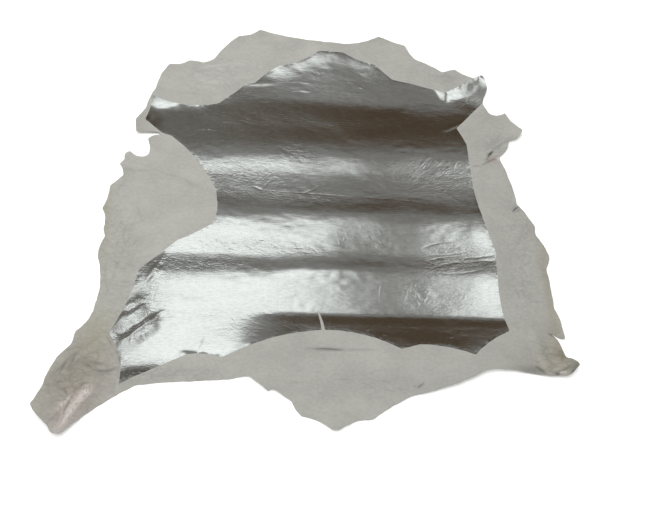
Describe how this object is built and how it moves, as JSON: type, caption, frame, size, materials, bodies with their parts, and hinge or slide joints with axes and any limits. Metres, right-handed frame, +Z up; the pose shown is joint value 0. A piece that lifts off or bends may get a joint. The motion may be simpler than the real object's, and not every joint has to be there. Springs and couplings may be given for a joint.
{
  "type": "piece of leather",
  "caption": "Whole animal skin laid flat: silver metallic foil over its middle, bare light grey border, raw outline with neck, legs and tail, low waves from side to side.",
  "frame": {"origin": "on the floor that the skin lies on, under the middle of its bounding box", "axes": "+X from the left legs to the right legs, +Y from the tail to the neck, +Z up from the flesh side to the grain side"},
  "size_m": [0.896, 0.7592, 0.0179],
  "materials": {
    "foiled_leather": "mirror-like silver foil on the middle of the grain side, bare satin grey leather round it, matte flesh side"
  },
  "bodies": {
    "root": {"hide": "foiled_leather"}
  },
  "joints": []
}
